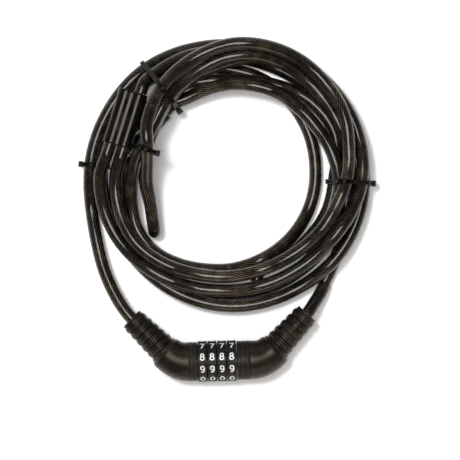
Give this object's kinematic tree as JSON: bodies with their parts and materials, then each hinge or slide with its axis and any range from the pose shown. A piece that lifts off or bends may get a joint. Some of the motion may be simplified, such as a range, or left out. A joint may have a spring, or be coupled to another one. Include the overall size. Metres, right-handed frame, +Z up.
{
  "type": "combination cable lock",
  "caption": "Combination cable lock: black number dials between elbowed ribbed covers, with two looped vinyl-covered steel cables coiled and tied.",
  "frame": {"origin": "on the floor under the middle of the lock head's bounding box, the cables left out", "axes": "+X along the dials' axis from the plug's end to the locked end, +Y from the head towards the coil, +Z up"},
  "size_m": [0.2156, 0.2467, 0.0499],
  "materials": {
    "rubber": "satin soft rubber, warm dark brown-black",
    "dial_plastic": "satin black with white digits",
    "brass": "machined",
    "black_metal": "satin black",
    "steel": "machined",
    "spring_steel": "plain",
    "vinyl": "clear smoke vinyl over dark twisted wire, glossy",
    "sleeve_black": "glossy black",
    "tie_nylon": "black nylon"
  },
  "bodies": {
    "lock": {"spindle_tube": "steel", "detent_spring": "spring_steel", "end_collar": "steel", "right_housing": "black_metal", "right_ferrule": "steel", "right_clamp_screw": "steel", "right_cover": "rubber", "left_lead": "vinyl", "right_lead": "vinyl", "left_coil": "vinyl", "right_coil": "vinyl", "left_eye": "vinyl", "right_eye": "vinyl", "left_sleeve": "sleeve_black", "right_sleeve": "sleeve_black", "lead_tie": "tie_nylon", "bundle_tie": "tie_nylon", "fold_tie": "tie_nylon", "side_tie": "tie_nylon"},
    "plug": {"plug_pin": "steel", "left_housing": "black_metal", "left_ferrule": "steel", "left_clamp_screw": "steel", "left_cover": "rubber"},
    "dial_1": {"dial_1": "dial_plastic", "code_ring_1": "brass"},
    "dial_2": {"dial_2": "dial_plastic", "code_ring_2": "brass"},
    "dial_3": {"dial_3": "dial_plastic", "code_ring_3": "brass"},
    "dial_4": {"dial_4": "dial_plastic", "code_ring_4": "brass"}
  },
  "joints": [
    {"name": "plug_slide", "type": "slide", "parent": "lock", "child": "plug", "axis": [-1, 0, 0], "range_m": [0, 0.036], "deforming": ["left_lead"]},
    {"name": "dial_1_turn", "type": "hinge", "parent": "lock", "child": "dial_1", "pos_m": [-0.0129, -0.01172, 0.0149], "axis": [1, 0, 0], "continuous": true},
    {"name": "dial_2_turn", "type": "hinge", "parent": "lock", "child": "dial_2", "pos_m": [-0.0059, -0.01172, 0.0149], "axis": [1, 0, 0], "continuous": true},
    {"name": "dial_3_turn", "type": "hinge", "parent": "lock", "child": "dial_3", "pos_m": [0.0011, -0.01172, 0.0149], "axis": [1, 0, 0], "continuous": true},
    {"name": "dial_4_turn", "type": "hinge", "parent": "lock", "child": "dial_4", "pos_m": [0.0081, -0.01172, 0.0149], "axis": [1, 0, 0], "continuous": true}
  ]
}
